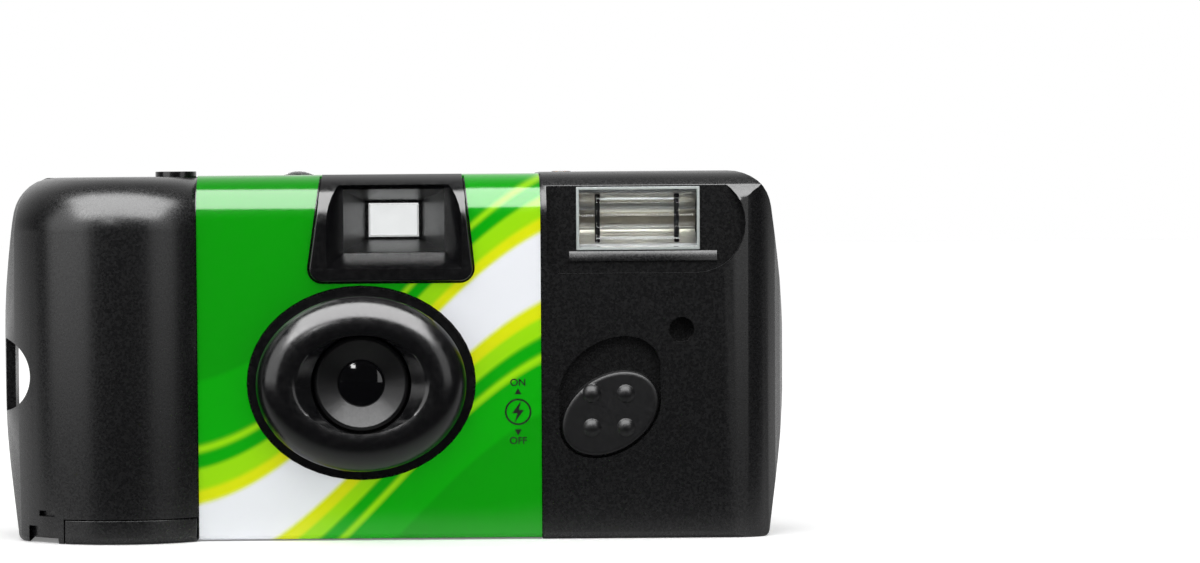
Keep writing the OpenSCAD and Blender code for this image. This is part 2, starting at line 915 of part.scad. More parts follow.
supply_wall_r = roll_d / 2 + 0.5;
supply_pin_r = 1.5;
frame_z0 = wall + 0.2;
frame_z1 = cartridge_top - 0.6;
gate_y0 = film_y - 1.7;
gate_y1 = film_y - loose;
gate_left = -23.4;
gate_right = 18;
chamber_t = 0.7;
box_t = 1;
end_t = 1.2;
supply_z1 = film_z1 + loose + end_t;
counter_pin_r = 1;
tunnel_y0 = finder_lens_y + finder_lens_t + 0.1;
tunnel_y1 = eyepiece_flange_y - 0.05;

// Tapered tube of oblong section from back to front
module tapered_tube(back_w, back_h, front_w, front_h, side, y0, y1, x, z) {
    loft([
        frame_ring(back_w + 2 * side, back_h + 2 * side, y1, x, z),
        frame_ring(front_w + 2 * side, front_h + 2 * side, y0, x, z),
        frame_ring(front_w, front_h, y0, x, z),
        frame_ring(back_w, back_h, y1, x, z)], true);
}

module light_box() {
    color("#1c1c20") tapered_tube(gate_w, gate_h, 12, 10, box_t, plate_y1, gate_y0, lens_x, lens_z);
}

module finder_tunnel() {
    color("#1c1c20") tapered_tube(eyepiece_w + 1, eyepiece_h + 0.8, finder_w + 0.6, finder_h - 0.2, tunnel_wall,
        tunnel_y0, tunnel_y1, finder_x, finder_z);
}

// Part of a round chamber between two directions, before it is hollowed
module chamber_block(x, y, r, from, to, z1) {
    along_z(frame_z0, z1) intersection() {
        translate([x, y]) circle(r = r + chamber_t);
        slice(x, y, from, to);
    }
}

module bearing_arms() {
    z0 = sprocket_z0 + sprocket_t + 0.7;
    arm = shaft_r + 0.7;
    block(counter_x - 2.4, sprocket_x + arm, sprocket_y - 2, gate_y0 + 0.5, z0, z0 + 1.6);
    block(sprocket_x - arm, sprocket_x + arm, sprocket_y - 2, gate_y0 + 0.5, sprocket_z0 - 1.6, sprocket_z0 - 0.7);
    rod_z(counter_x, counter_y, 1.8, z0 + 1, counter_z0 - 2.2);
    rod_z(counter_x, counter_y, counter_pin_r, z0 + 1, counter_z0 + counter_t + 0.3);
}

module main_frame() {
    color("#26262a") difference() {
        union() {
            block(gate_left, gate_right, gate_y0, gate_y1, frame_z0, frame_z1);
            chamber_block(cartridge_x, cartridge_y, chamber_r, -25, 46, frame_z1);
            chamber_block(supply_x, supply_y, supply_wall_r, 140, 420, supply_z1);
            rod_z(supply_x, supply_y, 2 * supply_pin_r, frame_z0, frame_z0 + end_t);
            rod_z(supply_x, supply_y, 2 * supply_pin_r, supply_z1 - end_t, supply_z1);
            block(gate_right - 1.2, supply_x - supply_wall_r, supply_y + 1, supply_y + 2.6, frame_z0 + 1, frame_z1 - 1);
            block(gate_right - 1.2, gate_right - 0.2, supply_y + 1.4, gate_y0 + 0.5, frame_z0 + 1, frame_z1 - 1);
            bearing_arms();
        }
        rod_z(cartridge_x, cartridge_y, chamber_r, 0, far);
        rod_z(supply_x, supply_y, supply_wall_r, frame_z0 + end_t, supply_z1 - end_t);
        block(lens_x - gate_w / 2, lens_x + gate_w / 2, gate_y0 - 1, far, lens_z - gate_h / 2, lens_z + gate_h / 2);
        block(sprocket_x - 7, sprocket_x + 7, gate_y0 - 0.5, far, sprocket_z0 - loose, sprocket_z0 + sprocket_t + loose);
        block(lens_x - gate_w / 2 - box_t - loose, lens_x + gate_w / 2 + box_t + loose, cartridge_y, gate_y0,
            lens_z - gate_h / 2 - box_t - loose, lens_z + gate_h / 2 + box_t + loose);
        block(finder_x - finder_w / 2, finder_x + finder_w / 2, gate_y0 - 1, far, finder_z - finder_h / 2, far);
        block(flash_x - flash_w / 2, flash_x + flash_w / 2, front, reflector_y1 + loose, flash_z - flash_h / 2, far);
        rod_x(battery_y, battery_z, battery_d / 2 + loose, -far, far);
        rod_z(sprocket_x, sprocket_y, shaft_r + running, sprocket_z0 - 1, far);
        rod_z(supply_x, supply_y, supply_pin_r + running, 0, far);
    }
}

mouth_turn = 52;

module cartridge_shell() {
    color("#c8c8c0") along_z(cartridge_floor + cap_t, cartridge_top - cap_t) translate([cartridge_x, cartridge_y])
        difference() {
            circle(r = cartridge_r);
            circle(r = cartridge_r - 0.5);
            rotate(mouth_turn) translate([0, -0.6]) square([far, 1.2]);
        }
}

module cartridge_cap(z0) {
    color("#3a3a3c") difference() {
        rod_z(cartridge_x, cartridge_y, cartridge_r, z0, z0 + cap_t);
        rod_z(cartridge_x, cartridge_y, spool_end_r + loose, 0, far);
    }
}

module cartridge_top_cap() {
    cartridge_cap(cartridge_top - cap_t);
}

module cartridge_bottom_cap() {
    cartridge_cap(cartridge_floor);
}

module cartridge_spool() {
    z0 = cartridge_floor + cap_t + loose;
    z1 = cartridge_top - cap_t - loose;
    color("#1c1c1e") difference() {
        union() {
            rod_z(cartridge_x, cartridge_y, spool_core_r, z0, z1);
            rod_z(cartridge_x, cartridge_y, spool_end_r, cartridge_floor + 0.1, cartridge_top + 0.6);
        }
        rod_z(cartridge_x, cartridge_y, spool_socket_r, cartridge_top - key_in - 0.2, far);
    }
}

// Film from the cartridge mouth along the gate and on to the roll
module film_strip() {
    bend_x = 20;
    roll_gap = roll_d / 2 + loose + film_t;
    start_x = cartridge_x + 8;
    reach = [supply_x - bend_x, supply_y - film_y];
    dip = atan2(reach.y, reach.x) + asin(roll_gap / norm(reach));
    run = sqrt(reach * reach - roll_gap * roll_gap);
    end = [bend_x, film_y] + run * [cos(dip), sin(dip)];
    color("#5a4a40") along_z(film_z0, film_z1) polygon([[start_x, film_y], [bend_x, film_y], end,
        end + [0, film_t], [bend_x, film_y + film_t], [start_x, film_y + film_t]]);
}

spool_r = 3;

module film_roll() {
    color("#4a3c34") difference() {
        rod_z(supply_x, supply_y, roll_d / 2, film_z0, film_z1);
        rod_z(supply_x, supply_y, spool_r, 0, far);
    }
}

module supply_spool() {
    color("#1c1c1e") {
        rod_z(supply_x, supply_y, spool_r, frame_z0 + end_t + loose, supply_z1 - end_t - slip);
        rod_z(supply_x, supply_y, supply_pin_r, frame_z0 + 0.1, supply_z1 - 0.1);
    }
}

module sprocket_wheel() {
    finger_z = counter_z0 - 1.8;
    color("#d8d8d4") {
        translate([sprocket_x, sprocket_y]) along_z(sprocket_z0, sprocket_z0 + sprocket_t) union() {
            circle(r = sprocket_tip_r - 0.9);
            for (i = [0 : 7]) {
                rotate(45 * i + 22.5) translate([0, -0.6]) square([sprocket_tip_r, 1.2]);
            }
        }
        rod_z(sprocket_x, sprocket_y, shaft_r, sprocket_z0 - 0.5, sprocket_z0 + sprocket_t + 3.4);
        rod_z(sprocket_x, sprocket_y, 0.8, sprocket_z0, finger_z + 1);
        block(sprocket_x, sprocket_x + 1.35, sprocket_y - 0.4, sprocket_y + 0.4, finger_z, finger_z + 1);
    }
}

module counter_dial() {
    color("#e8e8e4") difference() {
        union() {
            rod_z(counter_x, counter_y, counter_r, counter_z0, counter_z0 + counter_t);
            rod_z(counter_x, counter_y, counter_gear_r, counter_z0 - 1.9, counter_z0 + 0.1);
        }
        rod_z(counter_x, counter_y, counter_pin_r + running, 0, far);
    }
}

// Flash

flange_y0 = flash_floor_y + flash_floor_t + 0.05;
flange_y1 = flange_y0 + 0.7;
ribs = 5;

module flash_window() {
    rib_h = (flash_h - 2 * slip) / ribs;
    color("#d8e0e4") difference() {
        union() {
            along_y(flash_floor_y + 0.2, flange_y0 + 0.1) flash_opening(slip);
            along_y(flange_y0, flange_y1) translate([flash_x, flash_z - (flash_flange + flange_top_drop) / 2])
                square([flash_w + 2 * flash_flange, flash_h + flash_flange - flange_top_drop], center = true);
        }
        for (i = [0 : ribs]) {
            z = flash_z - flash_h / 2 + slip + i * rib_h;
            along_x(flash_x - flash_w / 3, flash_x + flash_w / 3)
                polygon([[flash_floor_y, z - 0.5], [flash_floor_y + 0.6, z], [flash_floor_y, z + 0.5]]);
        }
    }
}

reflector_y0 = flange_y1 + 0.1;
reflector_y1 = reflector_y0 + reflector_depth;

module trough(half_front, half_back, y0, y1) {
    polygon([[y0, flash_z - half_front], [y1, flash_z - half_back], [y1, flash_z + half_back],
        [y0, flash_z + half_front]]);
}

module flash_reflector() {
    half = flash_h / 2 - 0.4;
    color("#d0d0d4") along_x(flash_x - flash_w / 2 + 0.2, flash_x + flash_w / 2 - 0.2) difference() {
        trough(half, 2, reflector_y0, reflector_y1);
        trough(half - 0.4, 1.6, reflector_y0 - 0.1, reflector_y1 - 0.4);
    }
}

module flash_tube() {
    color("#e8e8f0") rod_x(reflector_y1 - 1.9, flash_z, 1.2, flash_x - flash_w / 2 - 1.2, flash_x + flash_w / 2 + 1.2);
}

module circuit_board() {
    color("#4a6a30") block(board_left, board_right, board_y0, board_y1, board_z0, board_z1);
}

module capacitor() {
    color("#202838") rod_z(capacitor_x, capacitor_y, capacitor_d / 2, board_z0 - capacitor_drop,
        board_z0 - capacitor_drop + capacitor_l);
}

module transformer() {
    color("#a88040") translate([board_left + 1, board_y1 + 0.05, board_z0 + 6.5])
        cube([transformer_w, transformer_d, transformer_h]);
}

module trigger_coil() {
    color("#b07030") rod_z(board_left + 2.8 + transformer_w, board_y1 + 0.1 + coil_r, coil_r,
        board_z0 + 10.5, board_z0 + 10.5 + coil_l);
}

module ready_lamp() {
    color("#f0a060") rod_z(light_x, board_y1 + 0.1 + lamp_r, lamp_r, board_z1 - lamp_l / 2,
        board_z1 + lamp_l / 2);
}

module sync_contact() {
    color("#c8a850") block(lens_x + 6.4, board_left - slip, plate_y1, plate_y1 + contact_t,
        blade_z, blade_z + sync_h);
}

module battery() {
    x1 = battery_x0 + battery_l;
    color("#c0a030") {
        rod_x(battery_y, battery_z, battery_d / 2, battery_x0, x1);
        rod_x(battery_y, battery_z, 1.9, x1 - 0.1, x1 + battery_nub);
    }
}

module battery_contact(x0) {
    color("#c8a850") block(x0, x0 + contact_t, battery_y - 2.6, battery_y + 2.4, battery_z - 3, battery_z + 3);
}

module battery_contact_left() {
    battery_contact(battery_x0 - 0.1 - contact_t);
}

module battery_contact_right() {
    battery_contact(battery_x0 + battery_l + battery_nub + 0.1);
}

front_cover();
rear_cover();
cartridge_door();
label_wrap();
lens_ring();
viewfinder_bezel();
flash_window();
flash_switch();
shutter_button();
counter_window();
thumb_wheel();
viewfinder_eyepiece();
ready_light_window();
lens_holder();
taking_lens();
shutter_plate();
shutter_blade();
shutter_spring();
release_lever();
release_spring();
viewfinder_objective();
main_frame();
light_box();
finder_tunnel();
cartridge_shell();
cartridge_top_cap();
cartridge_bottom_cap();
cartridge_spool();
film_strip();
film_roll();
supply_spool();
sprocket_wheel();
counter_dial();
flash_reflector();
flash_tube();
circuit_board();
capacitor();
transformer();
trigger_coil();
ready_lamp();
switch_contact();
sync_contact();
battery();
battery_contact_left();
battery_contact_right();
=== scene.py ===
"""Dresses a single-use film camera in its finishes and sets it on a pale studio floor."""

import json
import math

import bmesh
import bpy
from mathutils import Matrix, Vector

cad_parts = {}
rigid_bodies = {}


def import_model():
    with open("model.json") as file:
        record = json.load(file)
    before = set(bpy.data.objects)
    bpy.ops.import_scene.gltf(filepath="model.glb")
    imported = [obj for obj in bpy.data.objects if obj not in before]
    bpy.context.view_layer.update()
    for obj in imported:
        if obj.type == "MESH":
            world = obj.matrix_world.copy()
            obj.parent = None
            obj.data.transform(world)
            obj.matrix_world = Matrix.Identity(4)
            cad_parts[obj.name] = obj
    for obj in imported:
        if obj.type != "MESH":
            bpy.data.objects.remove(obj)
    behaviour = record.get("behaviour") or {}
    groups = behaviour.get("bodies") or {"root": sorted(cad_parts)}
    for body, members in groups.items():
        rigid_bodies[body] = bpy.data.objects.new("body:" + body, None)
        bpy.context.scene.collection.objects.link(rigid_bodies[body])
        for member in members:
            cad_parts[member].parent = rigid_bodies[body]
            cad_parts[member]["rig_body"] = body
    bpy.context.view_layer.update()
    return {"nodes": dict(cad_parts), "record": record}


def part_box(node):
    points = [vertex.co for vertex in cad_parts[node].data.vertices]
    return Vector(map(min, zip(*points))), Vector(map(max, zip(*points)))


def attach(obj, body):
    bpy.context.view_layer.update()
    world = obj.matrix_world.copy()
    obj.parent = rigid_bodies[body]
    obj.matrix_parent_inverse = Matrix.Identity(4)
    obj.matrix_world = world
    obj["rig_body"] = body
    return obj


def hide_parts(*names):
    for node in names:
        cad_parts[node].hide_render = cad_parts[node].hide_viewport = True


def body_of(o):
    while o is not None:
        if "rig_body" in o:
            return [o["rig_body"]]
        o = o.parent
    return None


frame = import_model()

bl_info = {
    "name": "Single-use film camera",
    "version": (1, 0, 0),
    "blender": (4, 5, 0),
    "location": "View3D > Sidebar > Film camera",
    "description": "Models the finishes of a single-use film camera with flash",
    "category": "Add Mesh",
}

MM = 0.001
FACING_FRONT = (math.pi / 2, 0, 0)


def linear(hex_colour):
    """Turns an sRGB hex value into linear red, green and blue."""
    parts = [int(hex_colour[i:i + 2], 16) / 255 for i in (1, 3, 5)]
    return tuple(c / 12.92 if c <= 0.04045 else ((c + 0.055) / 1.055) ** 2.4 for c in parts)


def opaque(colour):
    """A colour with full alpha."""
    return (colour[0], colour[1], colour[2], 1.0)


# Settings that a user would change

def colour_setting(name, description, hex_colour):
    return bpy.props.FloatVectorProperty(
        name=name, description=description, subtype="COLOR", size=3, min=0, max=1, default=linear(hex_colour))


def length_setting(name, description, default):
    return bpy.props.FloatProperty(name=name, description=description, unit="LENGTH", min=0, default=default)


class FilmCameraColours(bpy.types.PropertyGroup):
    """Colours of the camera's finishes."""

    cover: colour_setting("Covers", "Textured black of the two covers", "#09090B")
    gloss: colour_setting("Gloss trim", "Black of the lens ring and the viewfinder frame", "#08080A")
    satin: colour_setting("Controls", "Black of the switch, the wheel and the lens holder", "#09090B")
    green: colour_setting("Label ground", "Green of the printed label", "#00AA00")
    lime: colour_setting("Label stripes", "Lime of the label's stripes", "#9BE000")
    yellow: colour_setting("Label edges", "Yellow beside the label's ribbon", "#DDE600")
    pale: colour_setting("Label ribbon", "White of the label's ribbon", "#EEF0F5")
    ink: colour_setting("Sign ink", "Black of the switch sign", "#101010")


class FilmCameraSizes(bpy.types.PropertyGroup):
    """Sizes of the modelled detail."""

    edge: length_setting("Edge rounding", "Rounding of the covers' moulded edges", 0.25 * MM)
    trim_edge: length_setting("Trim rounding", "Rounding of the viewfinder frame's outer rim", 0.75 * MM)
    grain: length_setting("Plastic grain", "Grain of the covers' spark-eroded texture", 0.35 * MM)
    sign_height: length_setting("Sign letters", "Height of the letters by the switch", 1.0 * MM)
    dish_d: length_setting("Dish opening", "Diameter of the round hole in the lens ring's dish", 13.9 * MM)
    dish_depth: length_setting("Dish depth", "Depth of that hole behind the lens ring's front", 1.9 * MM)


def colours():
    """The colours that are set in the scene."""
    return bpy.context.scene.film_camera_colours


def sizes():
    """The sizes that are set in the scene."""
    return bpy.context.scene.film_camera_sizes


# Modelling helpers

# How close points are merged, and how flat neighbouring faces are joined, in a copy of a CAD node
MERGE_DISTANCE = 0.002 * MM
FLAT_ANGLE = math.radians(0.4)
# Angles in degrees: edges sharper than the first are rounded, and faces flatter than the others are smoothed
ROUNDED_ANGLE = 34
SMOOTH_ANGLE = 32
ROUND_SMOOTH_ANGLE = 40


def deselect():
    """Leaves edit mode and selects nothing."""
    if bpy.context.mode != "OBJECT":
        bpy.ops.object.mode_set(mode="OBJECT")
    bpy.ops.object.select_all(action="DESELECT")


def pick(piece):
    """Makes one piece the only one selected."""
    deselect()
    piece.select_set(True)
    bpy.context.view_layer.objects.active = piece


def edit(piece):
    """Opens one piece in edit mode with all of it selected."""
    pick(piece)
    bpy.ops.object.mode_set(mode="EDIT")
    bpy.ops.mesh.select_all(action="SELECT")


def finish_mesh(piece, smooth_angle=SMOOTH_ANGLE):
    """Leaves edit mode, puts the piece's place into its mesh and smooths its round faces."""
    pick(piece)
    bpy.ops.object.transform_apply(location=True, rotation=True, scale=True)
    bpy.ops.object.shade_smooth_by_angle(angle=math.radians(smooth_angle))


def apply_modifier(piece, kind, **settings):
    """Adds one modifier with its settings and applies it."""
    pick(piece)
    modifier = piece.modifiers.new(kind.lower(), kind)
    for key, value in settings.items():
        setattr(modifier, key, value)
    bpy.ops.object.modifier_apply(modifier=modifier.name)


def settle(piece, body, material, slot, *nodes):
    """Gives a finished piece its material, its body and the nodes that it stands for."""
    piece.data.materials.clear()
    piece.data.materials.append(material)
    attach(piece, body)
    if nodes:
        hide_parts(*nodes)


def copy_of(node):
    """A merged copy of a CAD node, free of its triangulation."""
    pick(frame["nodes"][node])
    bpy.ops.object.duplicate()
    piece = bpy.context.active_object
    piece.name = node + "_moulding"
    if piece.data.has_custom_normals:
        bpy.ops.mesh.customdata_custom_splitnormals_clear()
    edit(piece)
    bpy.ops.mesh.remove_doubles(threshold=MERGE_DISTANCE)
    bpy.ops.mesh.dissolve_limited(angle_limit=FLAT_ANGLE)
    bpy.ops.object.mode_set(mode="OBJECT")
    return piece


def rounded_copy(node, width):
    """A merged copy of a CAD node with its moulded edges rounded."""
    piece = copy_of(node)
    apply_modifier(piece, "BEVEL", width=width, segments=2, limit_method="ANGLE",
                   angle_limit=math.radians(ROUNDED_ANGLE), use_clamp_overlap=True)
    finish_mesh(piece)
    apply_modifier(piece, "WEIGHTED_NORMAL", keep_sharp=True)
    return piece


# A face counts as front above the first share of its normal along Y, and as a side wall below the second
FRONT_FACING = 0.95
SIDE_FACING = 0.3
RIM_SEGMENTS = 6


def is_front_rim(edge, middle):
    """Whether an edge lies between a flat front and a side wall that faces away from the middle."""
    outward = (edge.verts[0].co + edge.verts[1].co) / 2 - middle
    normals = [face.normal for face in edge.link_faces]
    fronts = [normal for normal in normals if normal.y < -FRONT_FACING]
    walls = [normal for normal in normals if abs(normal.y) < SIDE_FACING and normal.dot(outward) > 0]
    return len(fronts) == 1 and len(walls) == 1


def round_front_rim(piece, width):
    """Rounds the outer rim of a piece's flat front, where the front meets its side walls."""
    edit(piece)
    bpy.ops.mesh.select_mode(type="EDGE")
    bpy.ops.mesh.select_all(action="DESELECT")
    mesh = bmesh.from_edit_mesh(piece.data)
    middle = sum((vertex.co for vertex in mesh.verts), Vector()) / len(mesh.verts)
    for edge in mesh.edges:
        edge.select_set(is_front_rim(edge, middle))
    bmesh.update_edit_mesh(piece.data)
    bpy.ops.mesh.bevel(offset=width, segments=RIM_SEGMENTS, affect="EDGES", clamp_overlap=True)
    bpy.ops.mesh.select_mode(type="VERT")
    bpy.ops.object.mode_set(mode="OBJECT")


def thicken(depth):
    """In edit mode, draws the selected flat faces out to the front and turns all faces outward."""
    bpy.ops.mesh.extrude_region_move(TRANSFORM_OT_translate={"value": (0, -depth, 0)})
    bpy.ops.mesh.select_all(action="SELECT")
    bpy.ops.mesh.normals_make_consistent(inside=False)
    bpy.ops.object.mode_set(mode="OBJECT")


def ring_skin(name, centre, rings, vertices):
    """A closed skin of ovals facing the front; each ring is its width, its height and its place along Y."""
    deselect()
    first = rings[0]
    bpy.ops.mesh.primitive_circle_add(
        vertices=vertices, radius=0.5, location=(centre[0], first[2], centre[1]), rotation=FACING_FRONT)
    piece = bpy.context.active_object
    piece.name = name
    bpy.ops.object.transform_apply(location=True, rotation=True, scale=True)
    edit(piece)
    middle = Vector((centre[0], 0, centre[1]))
    bpy.ops.transform.resize(value=(first[0], 1, first[1]), center_override=middle)
    for old, new in zip(rings, rings[1:]):
        bpy.ops.mesh.extrude_edges_move(TRANSFORM_OT_translate={"value": (0, new[2] - old[2], 0)})
        bpy.ops.transform.resize(value=(new[0] / old[0], 1, new[1] / old[1]), center_override=middle)
    close_skin()
    return piece


def close_skin():
    """In edit mode, bridges the first and last ring of a skin and turns its faces outward."""
    bpy.ops.mesh.select_all(action="DESELECT")
    bpy.ops.mesh.select_mode(type="EDGE")
    bpy.ops.mesh.select_non_manifold()
    bpy.ops.mesh.bridge_edge_loops()
    bpy.ops.mesh.select_all(action="SELECT")
    bpy.ops.mesh.normals_make_consistent(inside=False)
    bpy.ops.mesh.select_mode(type="VERT")
    bpy.ops.object.mode_set(mode="OBJECT")


# Materials

def add_node(tree, kind, inputs=None, **settings):
    """Adds one node, sets its options and sockets, and links the sockets that are given an output."""
    new = tree.nodes.new("ShaderNode" + kind)
    for key, value in settings.items():
        setattr(new, key, value)
    for key, value in (inputs or {}).items():
        if isinstance(value, bpy.types.NodeSocket):
            tree.links.new(value, new.inputs[key])
        else:
            new.inputs[key].default_value = value
    return new


def new_material(name):
    """A material with no nodes yet, and its tree."""
    material = bpy.data.materials.new(name)
    material.use_nodes = True
    material.node_tree.nodes.clear()
    return material, material.node_tree


def output(tree, shader):
    """Links a shader to the material's surface."""
    add_node(tree, "OutputMaterial", {"Surface": shader.outputs["BSDF"]})


def blend_ramp(tree, factor, stops):
    """A colour ramp through (place, colour) stops."""
    ramp = add_node(tree, "ValToRGB", {"Fac": factor})
    elements = ramp.color_ramp.elements
    while len(elements) < len(stops):
        elements.new(0.5)
    for element, (place, colour) in zip(elements, stops):
        element.position = place
        element.color = opaque(colour)
    return ramp


# The slow drift of a moulded or coated surface's shade, and how strongly its grain shows
DRIFT_LENGTH = 18 * MM
GRAIN_STRENGTH = 0.12


def grained_surface(name, colour, roughness, grain, depth, shine=0.5):
    """A moulded or coated surface: a fine grain breaks up the shine, and the shade drifts a little."""
    material, tree = new_material(name)
    place = add_node(tree, "TexCoord").outputs["Object"]
    fine = add_node(tree, "TexNoise", {"Vector": place, "Scale": 1 / grain, "Detail": 3.0})
    drift = add_node(tree, "TexNoise", {"Vector": place, "Scale": 1 / DRIFT_LENGTH, "Detail": 2.0})
    shade = blend_ramp(tree, drift.outputs["Fac"], [
        (0.3, [0.85 * c for c in colour]),
        (0.7, [1.12 * c for c in colour])])
    gloss = add_node(tree, "MapRange", {
        "Value": fine.outputs["Fac"], "From Min": 0.3, "From Max": 0.7,
        "To Min": roughness - 0.04, "To Max": roughness + 0.06})
    bump = add_node(tree, "Bump", {
        "Height": fine.outputs["Fac"], "Strength": GRAIN_STRENGTH, "Distance": depth})
    shader = add_node(tree, "BsdfPrincipled", {
        "Base Color": shade.outputs["Color"], "Roughness": gloss.outputs["Result"], "IOR": 1.53,
        "Specular IOR Level": shine, "Normal": bump.outputs["Normal"]})
    output(tree, shader)
    return material


# The label's bands: where the lowest one starts, the softness of an edge, and the slope and wave they follow
BAND_START = -16 * MM
BAND_EDGE = 0.35 * MM
BAND_SLOPE = -0.42
WAVE_LENGTH = 90 * MM
WAVE_RISE = 9 * MM
# The print's dots, drawn coarser than real ones so that they show
PRINT_DOT = 0.6 * MM


def band_ramp(tree, place, bands):
    """A colour ramp of (width, colour) bands laid side by side, with slightly soft edges."""
    span = sum(width for width, colour in bands)
    factor = add_node(tree, "MapRange", {
        "Value": place, "From Min": BAND_START, "From Max": BAND_START + span})
    stops = []
    start = 0
    for width, colour in bands:
        stops.append(((start + BAND_EDGE) / span, colour))
        stops.append(((start + width - BAND_EDGE) / span, colour))
        start += width
    return blend_ramp(tree, factor.outputs["Result"], stops)


def label_bands():
    """The label's bands from the lowest up, as widths and colours."""
    tint = colours()
    deep = [0.8 * c for c in tint.green]
    bands = (
        (16, deep), (7, tint.green), (1.2, tint.lime), (2.4, tint.green), (2.6, tint.lime),
        (2.4, tint.yellow), (9.5, tint.pale), (2, tint.yellow),
        (3, tint.lime), (2.2, tint.green), (1, tint.lime), (9, tint.green), (22, deep))
    return [(width * MM, colour) for width, colour in bands]


def printed_film():
    """Gloss-laminated printed film: a green ground with slanting waves of lime, yellow and white."""
    material, tree = new_material("gloss printed film")
    spot = add_node(tree, "TexCoord").outputs["Object"]
    place = add_node(tree, "SeparateXYZ", {"Vector": spot})
    swing = add_node(tree, "Math", {0: place.outputs["X"], 1: 2 * math.pi / WAVE_LENGTH},
                     operation="MULTIPLY")
    wave = add_node(tree, "Math", {0: swing.outputs[0]}, operation="SINE")
    level = add_node(tree, "Math", {0: wave.outputs[0], 1: -WAVE_RISE, 2: place.outputs["Z"]},
                     operation="MULTIPLY_ADD")
    slope = add_node(tree, "Math", {0: place.outputs["X"], 1: BAND_SLOPE, 2: level.outputs[0]},
                     operation="MULTIPLY_ADD")
    print_colour = band_ramp(tree, slope.outputs[0], label_bands())
    dots = add_node(tree, "TexNoise", {"Vector": spot, "Scale": 1 / PRINT_DOT, "Detail": 2.0})
    ripple = add_node(tree, "Bump", {
        "Height": dots.outputs["Fac"], "Strength": 0.06, "Distance": 0.02 * MM})
    gloss = add_node(tree, "MapRange", {"Value": dots.outputs["Fac"], "To Min": 0.1, "To Max": 0.18})
    shader = add_node(tree, "BsdfPrincipled", {
        "Base Color": print_colour.outputs["Color"], "Roughness": gloss.outputs["Result"], "IOR": 1.5,
        "Normal": ripple.outputs["Normal"]})
    output(tree, shader)
    return material


def clear_acrylic(name, colour, roughness=0.03):
    """Polished clear acrylic: near colourless, with faint flow marks from the mould."""
    material, tree = new_material(name)
    place = add_node(tree, "TexCoord").outputs["Object"]
    flow = add_node(tree, "TexNoise", {"Vector": place, "Scale": 1 / (4 * MM), "Detail": 1.0})
    tone = blend_ramp(tree, flow.outputs["Fac"], [(0.3, [0.95 * c for c in colour]), (0.7, colour)])
    bump = add_node(tree, "Bump", {
        "Height": flow.outputs["Fac"], "Strength": 0.02, "Distance": 0.05 * MM})
    shader = add_node(tree, "BsdfPrincipled", {
        "Base Color": tone.outputs["Color"], "Roughness": roughness, "IOR": 1.49, "Transmission Weight": 1.0,
        "Normal": bump.outputs["Normal"]})
    output(tree, shader)
    return material


def bright_metal(name, colour, roughness, grain):
    """Sheet metal with a drawn or plated surface: fine streaks along its length."""
    material, tree = new_material(name)
    place = add_node(tree, "TexCoord").outputs["Object"]
    run = add_node(tree, "Mapping", {"Vector": place, "Scale": (1.0, 8.0, 8.0)})
    streak = add_node(tree, "TexNoise", {
        "Vector": run.outputs["Vector"], "Scale": 1 / grain, "Detail": 3.0})
    tone = blend_ramp(tree, streak.outputs["Fac"], [(0.35, [0.8 * c for c in colour]), (0.65, colour)])
    gloss = add_node(tree, "MapRange", {
        "Value": streak.outputs["Fac"], "To Min": roughness - 0.05, "To Max": roughness + 0.1})
    shader = add_node(tree, "BsdfPrincipled", {
        "Base Color": tone.outputs["Color"], "Metallic": 1.0, "Roughness": gloss.outputs["Result"]})
    output(tree, shader)
    return material


def textured_black():
    """Spark-eroded black ABS: a fine sandy grain that spreads each highlight softly."""
    return grained_surface("spark-eroded black ABS", colours().cover, 0.26, sizes().grain, 0.04 * MM, 0.45)


def gloss_black():
    """Polished black ABS: deep black with clear, bright reflections."""
    return grained_surface("polished black ABS", colours().gloss, 0.2, 0.8 * MM, 0.004 * MM, 0.5)


def satin_black():
    """Satin black ABS: dark, with a low even sheen."""
    return grained_surface("satin black ABS", colours().satin, 0.36, 0.3 * MM, 0.02 * MM, 0.3)


def clear():
    """Polished clear acrylic of the windows and lenses: almost no colour."""
    return clear_acrylic("clear acrylic", linear("#FDFEFE"))


def coated_lens():
    """Coated lens glass over the dark chamber: an opaque near-black base with the unlit chamber's shade
    painted in, a painted violet sheen toward its edge, and a sharp shine.
    """
    material, tree = new_material("coated lens glass")
    place = add_node(tree, "TexCoord").outputs["Object"]
    drift = add_node(tree, "TexNoise", {"Vector": place, "Scale": 1 / (3 * MM), "Detail": 1.0})
    # Painted sheen: where the lens faces away, the base colour lightens to violet in place of its coating's
    # reflection
    facing = add_node(tree, "LayerWeight", {"Blend": 0.4})
    edge = add_node(tree, "Math", {0: facing.outputs["Facing"], 1: drift.outputs["Fac"]},
                    operation="MULTIPLY")
    # The near-black base is painted shade of the unlit chamber behind the lens
    tone = blend_ramp(tree, edge.outputs[0], [(0.0, linear("#050507")), (0.6, linear("#14101C"))])
    shader = add_node(tree, "BsdfPrincipled", {
        "Base Color": tone.outputs["Color"], "Roughness": 0.06, "IOR": 1.6})
    output(tree, shader)
    return material


def amber():
    """Amber acrylic of the ready light: a warm glow, slightly hazed."""
    return clear_acrylic("amber acrylic", linear("#F0932A"), 0.12)


def spring_steel():
    """Bright spring steel: cool grey with fine rolling streaks."""
    return bright_metal("bright spring steel", linear("#C9CBD0"), 0.28, 2 * MM)


def can_metal():
    """Enamelled steel of the film can and the battery: warm pale grey with a smooth shine."""
    return grained_surface("enamelled steel", linear("#B9B7AC"), 0.3, 1.5 * MM, 0.004 * MM)


def film_base():
    """Exposed film base: brown and glossy."""
    return grained_surface("exposed film base", linear("#4A3529"), 0.22, 3 * MM, 0.002 * MM)


